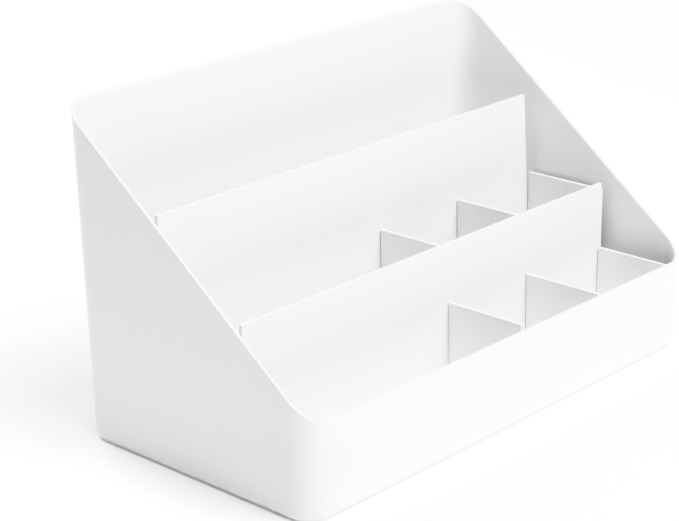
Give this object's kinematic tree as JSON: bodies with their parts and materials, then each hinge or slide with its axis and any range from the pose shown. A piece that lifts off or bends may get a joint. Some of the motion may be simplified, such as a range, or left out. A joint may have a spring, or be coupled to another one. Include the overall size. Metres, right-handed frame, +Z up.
{
  "type": "desk organizer",
  "caption": "Sloped rectangular desk tub with rounded corners and a lift-out insert of long dividers and cross walls: a tall rear slot and stepped rows of cells.",
  "frame": {"origin": "on the surface that the organizer stands on, under the centre of its width and depth", "axes": "+X along the width, to the right as seen from the low front; -Y to the low front; +Z up"},
  "size_m": [0.2598, 0.1384, 0.1499],
  "materials": {
    "shell_plastic": "satin moulded ABS with a very fine texture",
    "insert_plastic": "satin moulded ABS with a very fine texture",
    "foot_rubber": "matt light grey rubber"
  },
  "bodies": {
    "shell": {"outer_shell": "shell_plastic", "rubber_foot_1": "foot_rubber", "rubber_foot_2": "foot_rubber", "rubber_foot_3": "foot_rubber", "rubber_foot_4": "foot_rubber"},
    "insert": {"insert_base": "insert_plastic", "rear_divider": "insert_plastic", "front_divider": "insert_plastic", "middle_wall_left_end": "insert_plastic", "middle_wall_1": "insert_plastic", "middle_wall_2": "insert_plastic", "middle_wall_right_end": "insert_plastic", "front_wall_left_end": "insert_plastic", "front_wall_1": "insert_plastic", "front_wall_2": "insert_plastic", "front_wall_right_end": "insert_plastic"}
  },
  "joints": [
    {"name": "insert_lift", "type": "slide", "parent": "shell", "child": "insert", "axis": [0, 0, 1], "range_m": [0, 0.15]}
  ]
}
